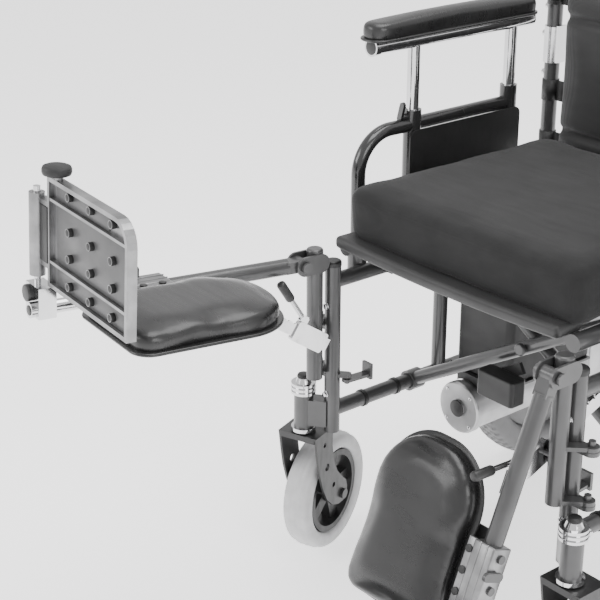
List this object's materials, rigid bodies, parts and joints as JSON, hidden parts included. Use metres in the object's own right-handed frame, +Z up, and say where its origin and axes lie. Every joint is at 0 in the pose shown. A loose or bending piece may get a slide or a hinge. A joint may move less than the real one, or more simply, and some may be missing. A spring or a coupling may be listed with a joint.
{
  "type": "powered folding wheelchair",
  "caption": "Folding powered wheelchair frame with elevating, swing-away legrests, swivel casters, height-adjustable armrests and cushioned seat.",
  "frame": {"origin": "on the floor under the centre of the chair's bounding box", "axes": "+X to the rider's left, +Y to the rear, +Z up"},
  "size_m": [0.6893, 1.2349, 0.942],
  "materials": {
    "frame_paint": "semi-gloss enamel",
    "black_paint": "gloss enamel",
    "fork_paint": "powder coat",
    "rim_paint": "powder coat",
    "chrome": "polished",
    "cast_alloy": "cast, tumbled",
    "motor_alloy": "machined",
    "black_plastic": "moulded",
    "battery_plastic": "textured",
    "panel_plastic": "fine grain",
    "grip_rubber": "ribbed",
    "drive_rubber": "grey tread",
    "caster_rubber": "light grey ribbed",
    "black_vinyl": "grained vinyl",
    "seat_fabric": "stretch knit",
    "back_fabric": "padded nylon",
    "sling_nylon": "coated nylon"
  },
  "bodies": {
    "right_frame": {"right_side_frame": "frame_paint", "right_frame_fittings": "black_plastic", "right_chrome_fittings": "chrome", "right_push_grip": "grip_rubber", "right_tipper_socket": "frame_paint", "right_motor": "motor_alloy", "right_brake_cover": "black_plastic", "right_battery_box": "battery_plastic", "right_arm_frame": "black_paint", "right_side_panel": "panel_plastic", "back_rest": "back_fabric"},
    "right_drive_wheel": {"right_drive_tyre": "drive_rubber", "right_drive_rim": "rim_paint"},
    "right_caster": {"right_caster_fork": "fork_paint"},
    "right_caster_wheel": {"right_caster_tyre": "caster_rubber", "right_caster_hub": "black_plastic"},
    "right_legrest": {"right_hanger": "frame_paint"},
    "right_leg": {"right_leg_tube": "frame_paint", "right_calf_pad": "black_vinyl"},
    "right_leg_slide": {"right_leg_extension": "chrome"},
    "right_footrest": {"right_footplate": "cast_alloy"},
    "right_ratchet": {"right_ratchet_box": "chrome"},
    "right_strut": {"right_strut_bar": "chrome"},
    "right_release": {"right_release_lever": "chrome"},
    "right_latch": {"right_swing_latch": "frame_paint"},
    "right_armrest": {"right_arm_posts": "chrome", "right_arm_pad": "black_vinyl"},
    "left_frame": {"left_side_frame": "frame_paint", "left_frame_fittings": "black_plastic", "left_chrome_fittings": "chrome", "left_push_grip": "grip_rubber", "left_tipper_socket": "frame_paint", "left_motor": "motor_alloy", "left_brake_cover": "black_plastic", "left_battery_box": "battery_plastic", "left_arm_frame": "black_paint", "left_side_panel": "panel_plastic"},
    "left_drive_wheel": {"left_drive_tyre": "drive_rubber", "left_drive_rim": "rim_paint"},
    "left_caster": {"left_caster_fork": "fork_paint"},
    "left_caster_wheel": {"left_caster_tyre": "caster_rubber", "left_caster_hub": "black_plastic"},
    "left_legrest": {"left_hanger": "frame_paint"},
    "left_leg": {"left_leg_tube": "frame_paint", "left_calf_pad": "black_vinyl"},
    "left_leg_slide": {"left_leg_extension": "chrome"},
    "left_footrest": {"left_footplate": "cast_alloy"},
    "left_ratchet": {"left_ratchet_box": "chrome"},
    "left_strut": {"left_strut_bar": "chrome"},
    "left_release": {"left_release_lever": "chrome"},
    "left_latch": {"left_swing_latch": "frame_paint"},
    "left_armrest": {"left_arm_posts": "chrome", "left_arm_pad": "black_vinyl", "joystick_box": "black_plastic"},
    "brace_front": {"brace_front_arm": "frame_paint", "power_module": "black_plastic", "seat_sling": "sling_nylon", "seat_cushion": "seat_fabric"},
    "brace_rear": {"brace_rear_arm": "frame_paint"},
    "joystick": {"joystick_knob": "grip_rubber"}
  },
  "joints": [
    {"name": "frame_fold", "type": "hinge", "parent": "right_frame", "child": "brace_front", "pos_m": [-0.23535, 0.05317, 0.28], "axis": [0, -1, 0], "range_deg": [0, 26], "deforming": ["seat_cushion", "seat_sling", "back_rest"]},
    {"name": "brace_cross", "type": "hinge", "parent": "brace_front", "child": "brace_rear", "pos_m": [0.00965, 0.06717, 0.42387], "axis": [0, -1, 0], "range_deg": [-52, 0]},
    {"name": "left_frame_turn", "type": "hinge", "parent": "brace_rear", "child": "left_frame", "pos_m": [0.25465, 0.08117, 0.28], "axis": [0, -1, 0], "range_deg": [0, 26]},
    {"name": "right_caster_swivel", "type": "hinge", "parent": "right_frame", "child": "right_caster", "pos_m": [-0.27035, -0.15083, 0.27], "axis": [0, 0, 1], "continuous": true},
    {"name": "right_caster_spin", "type": "hinge", "parent": "right_caster", "child": "right_caster_wheel", "pos_m": [-0.29326, -0.08787, 0.1], "axis": [0.9397, 0.342, 0], "continuous": true},
    {"name": "right_drive_spin", "type": "hinge", "parent": "right_frame", "child": "right_drive_wheel", "pos_m": [-0.29535, 0.44317, 0.175], "axis": [1, 0, 0], "continuous": true},
    {"name": "right_legrest_swing", "type": "hinge", "parent": "right_frame", "child": "right_legrest", "pos_m": [-0.26535, -0.12183, 0.4], "axis": [0, 0, -1], "range_deg": [-5.5, 84.5]},
    {"name": "right_knee", "type": "hinge", "parent": "right_legrest", "child": "right_leg", "pos_m": [-0.24095, -0.18144, 0.538], "axis": [-0.9954, 0.0958, 0], "range_deg": [-71.6, 0]},
    {"name": "right_leg_length", "type": "slide", "parent": "right_leg", "child": "right_leg_slide", "axis": [-0.0957, -0.9934, 0.0628], "range_m": [-0.06, 0.1]},
    {"name": "right_footplate_fold", "type": "hinge", "parent": "right_leg_slide", "child": "right_footrest", "pos_m": [-0.30055, -0.5918, 0.56406], "axis": [0.006, 0.0625, 0.998], "range_deg": [0, 90]},
    {"name": "right_strut_turn", "type": "hinge", "parent": "right_legrest", "child": "right_ratchet", "pos_m": [-0.23913, -0.16253, 0.415], "axis": [-0.9954, 0.0958, 0], "range_deg": [-55.7, 0]},
    {"name": "right_strut_slide", "type": "slide", "parent": "right_ratchet", "child": "right_strut", "axis": [-0.0794, -0.8242, 0.5606], "range_m": [-0.1412, 0]},
    {"name": "right_ratchet_release", "type": "hinge", "parent": "right_ratchet", "child": "right_release", "pos_m": [-0.22153, -0.18846, 0.45428], "axis": [-0.9954, 0.0958, 0], "range_deg": [0, 15], "stiffness_Nm_per_rad": 0.2},
    {"name": "right_latch_turn", "type": "hinge", "parent": "right_frame", "child": "right_latch", "pos_m": [-0.21835, -0.10583, 0.333], "axis": [0, 0, -1], "range_deg": [0, 25], "stiffness_Nm_per_rad": 0.2},
    {"name": "right_armrest_height", "type": "slide", "parent": "right_frame", "child": "right_armrest", "axis": [0, 0, 1], "range_m": [-0.07, 0.02]},
    {"name": "left_caster_swivel", "type": "hinge", "parent": "left_frame", "child": "left_caster", "pos_m": [0.28965, -0.15083, 0.27], "axis": [0, 0, 1], "continuous": true},
    {"name": "left_caster_spin", "type": "hinge", "parent": "left_caster", "child": "left_caster_wheel", "pos_m": [0.28965, -0.08383, 0.1], "axis": [1, 0, 0], "continuous": true},
    {"name": "left_drive_spin", "type": "hinge", "parent": "left_frame", "child": "left_drive_wheel", "pos_m": [0.31465, 0.44317, 0.175], "axis": [1, 0, 0], "continuous": true},
    {"name": "left_legrest_swing", "type": "hinge", "parent": "left_frame", "child": "left_legrest", "pos_m": [0.28465, -0.12183, 0.4], "axis": [0, 0, 1], "range_deg": [0, 90]},
    {"name": "left_knee", "type": "hinge", "parent": "left_legrest", "child": "left_leg", "pos_m": [0.25465, -0.17883, 0.538], "axis": [-1, 0, 0], "range_deg": [0, 71.6]},
    {"name": "left_leg_length", "type": "slide", "parent": "left_leg", "child": "left_leg_slide", "axis": [0, -0.3746, -0.9272], "range_m": [-0.094, 0.066]},
    {"name": "left_footplate_fold", "type": "hinge", "parent": "left_leg_slide", "child": "left_footrest", "pos_m": [0.27465, -0.34703, 0.12169], "axis": [0, 0.9272, -0.3746], "range_deg": [0, 90]},
    {"name": "left_strut_turn", "type": "hinge", "parent": "left_legrest", "child": "left_ratchet", "pos_m": [0.25465, -0.15983, 0.415], "axis": [-1, 0, 0], "range_deg": [0, 55.7]},
    {"name": "left_strut_slide", "type": "slide", "parent": "left_ratchet", "child": "left_strut", "axis": [0, -0.9304, -0.3665], "range_m": [0, 0.1412]},
    {"name": "left_ratchet_release", "type": "hinge", "parent": "left_ratchet", "child": "left_release", "pos_m": [0.23465, -0.20587, 0.41729], "axis": [-1, 0, 0], "range_deg": [0, 15], "stiffness_Nm_per_rad": 0.2},
    {"name": "left_latch_turn", "type": "hinge", "parent": "left_frame", "child": "left_latch", "pos_m": [0.23765, -0.10583, 0.333], "axis": [0, 0, 1], "range_deg": [0, 25], "stiffness_Nm_per_rad": 0.2},
    {"name": "left_armrest_height", "type": "slide", "parent": "left_frame", "child": "left_armrest", "axis": [0, 0, 1], "range_m": [-0.07, 0.02]},
    {"name": "joystick_tilt", "type": "hinge", "parent": "left_armrest", "child": "joystick", "pos_m": [0.31755, -0.10983, 0.862], "axis": [-1, 0, 0], "range_deg": [-15, 15], "stiffness_Nm_per_rad": 0.3}
  ],
  "couplings": [
    {"joint": "brace_cross", "follows": "frame_fold", "ratio": -2},
    {"joint": "left_frame_turn", "follows": "frame_fold", "ratio": 1},
    {"joint": "right_strut_turn", "follows": "right_knee", "ratio": 0.77654},
    {"joint": "right_strut_slide", "follows": "right_knee", "m_per_rad": 0.11291},
    {"joint": "left_strut_turn", "follows": "left_knee", "ratio": 0.77654},
    {"joint": "left_strut_slide", "follows": "left_knee", "m_per_rad": 0.11291}
  ]
}
